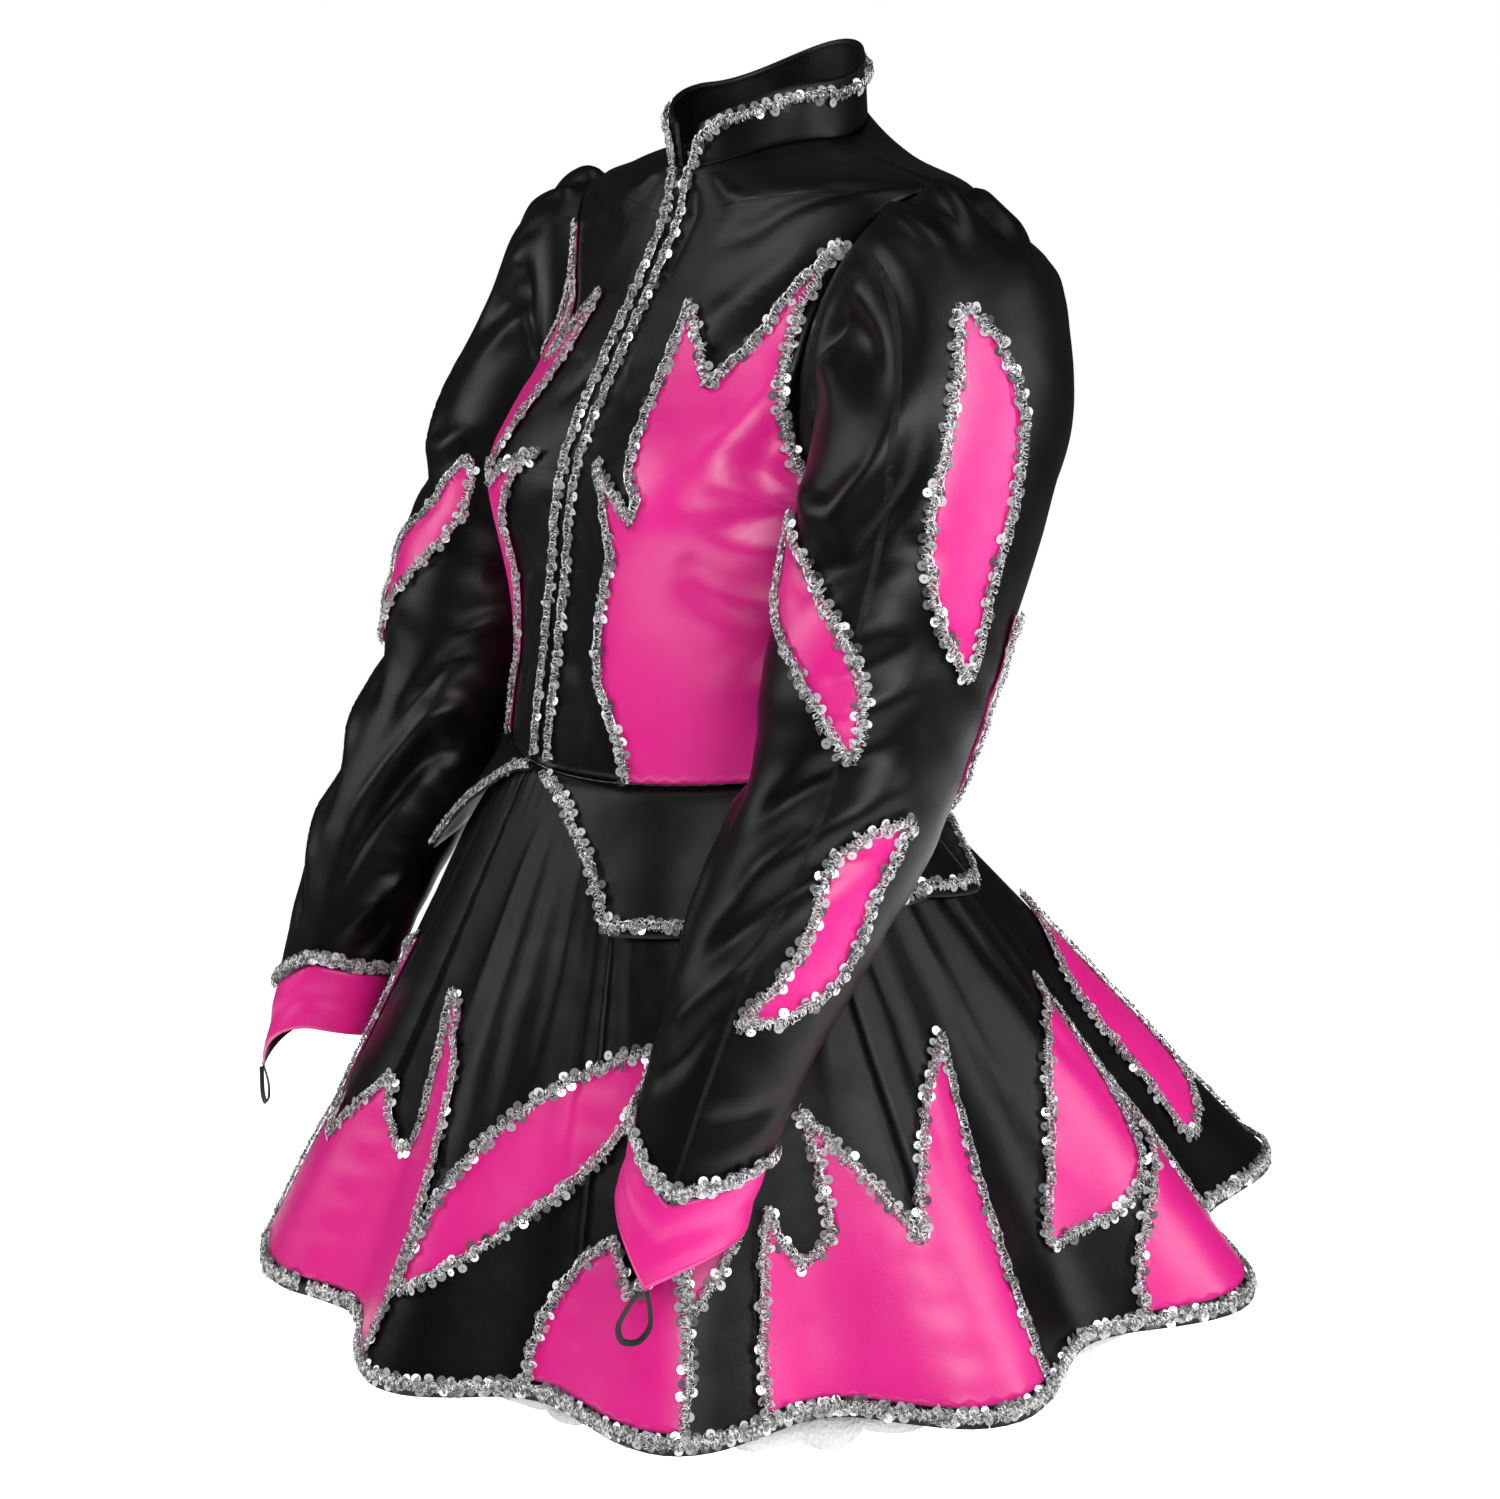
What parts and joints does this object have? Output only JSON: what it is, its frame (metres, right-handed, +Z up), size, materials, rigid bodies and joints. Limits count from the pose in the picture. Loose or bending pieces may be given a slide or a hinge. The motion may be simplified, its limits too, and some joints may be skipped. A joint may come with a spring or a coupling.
{
  "type": "majorette dress",
  "caption": "Majorette dress: stand collar, fitted bodice, puffed sleeves with pointed cuffs, flared gored skirt, satin flame appliques edged in sequin braid.",
  "frame": {"origin": "middle of the neck seam, where the collar meets the bodice, on the dress's middle line", "axes": "+Z up along the wearer's spine, -Y to the front where the zip is, +X to the wearer's left"},
  "size_m": [0.6425, 0.6621, 0.7506],
  "materials": {
    "black_satin": "black polyester satin, soft sheen",
    "pink_satin": "hot pink polyester satin, bright sheen",
    "sequin_braid": "silver sequin braid",
    "white_lace": "white raschel lace",
    "black_elastic": "flat ribbed elastic, matt",
    "zip_tape": "woven zip tape with coil, matt",
    "zip_metal": "black lacquered zinc, satin"
  },
  "bodies": {
    "garment": {"bodice_back": "black_satin", "bodice_front_left": "black_satin", "bodice_front_right": "black_satin", "collar": "black_satin", "collar_braid": "sequin_braid", "cuff_braid_left": "sequin_braid", "cuff_braid_right": "sequin_braid", "cuff_left": "pink_satin", "cuff_right": "pink_satin", "finger_loop_left": "black_elastic", "finger_loop_right": "black_elastic", "flame_front_left": "pink_satin", "flame_front_right": "pink_satin", "flame_skirt_1": "pink_satin", "flame_skirt_2": "pink_satin", "flame_skirt_3": "pink_satin", "flame_skirt_4": "pink_satin", "flame_skirt_5": "pink_satin", "flame_skirt_6": "pink_satin", "flame_skirt_7": "pink_satin", "flame_skirt_8": "pink_satin", "front_braid_left": "sequin_braid", "front_braid_right": "sequin_braid", "hem_braid": "sequin_braid", "lace_frill": "white_lace", "leaf_skirt_1": "pink_satin", "leaf_skirt_2": "pink_satin", "leaf_skirt_3": "pink_satin", "leaf_skirt_4": "pink_satin", "leaf_skirt_5": "pink_satin", "leaf_skirt_6": "pink_satin", "leaf_skirt_7": "pink_satin", "leaf_skirt_8": "pink_satin", "leaf_sleeve_back_left": "pink_satin", "leaf_sleeve_back_right": "pink_satin", "leaf_sleeve_front_left": "pink_satin", "leaf_sleeve_front_right": "pink_satin", "leaf_sleeve_lower_left": "pink_satin", "leaf_sleeve_lower_right": "pink_satin", "leaf_sleeve_upper_left": "pink_satin", "leaf_sleeve_upper_right": "pink_satin", "peplum_back": "black_satin", "peplum_braid": "sequin_braid", "peplum_left": "black_satin", "peplum_right": "black_satin", "petticoat": "black_satin", "skirt_gore_1": "black_satin", "skirt_gore_2": "black_satin", "skirt_gore_3": "black_satin", "skirt_gore_4": "black_satin", "skirt_gore_5": "black_satin", "skirt_gore_6": "black_satin", "skirt_gore_7": "black_satin", "skirt_gore_8": "black_satin", "sleeve_left": "black_satin", "sleeve_right": "black_satin", "zip_slider": "zip_metal", "zip_tape": "zip_tape"},
    "pull": {"zip_pull": "zip_metal"}
  },
  "joints": [
    {"name": "pull_swing", "type": "hinge", "parent": "garment", "child": "pull", "pos_m": [0, -0.06262, -0.0324], "axis": [-1, 0, 0], "range_deg": [0, 150]}
  ]
}
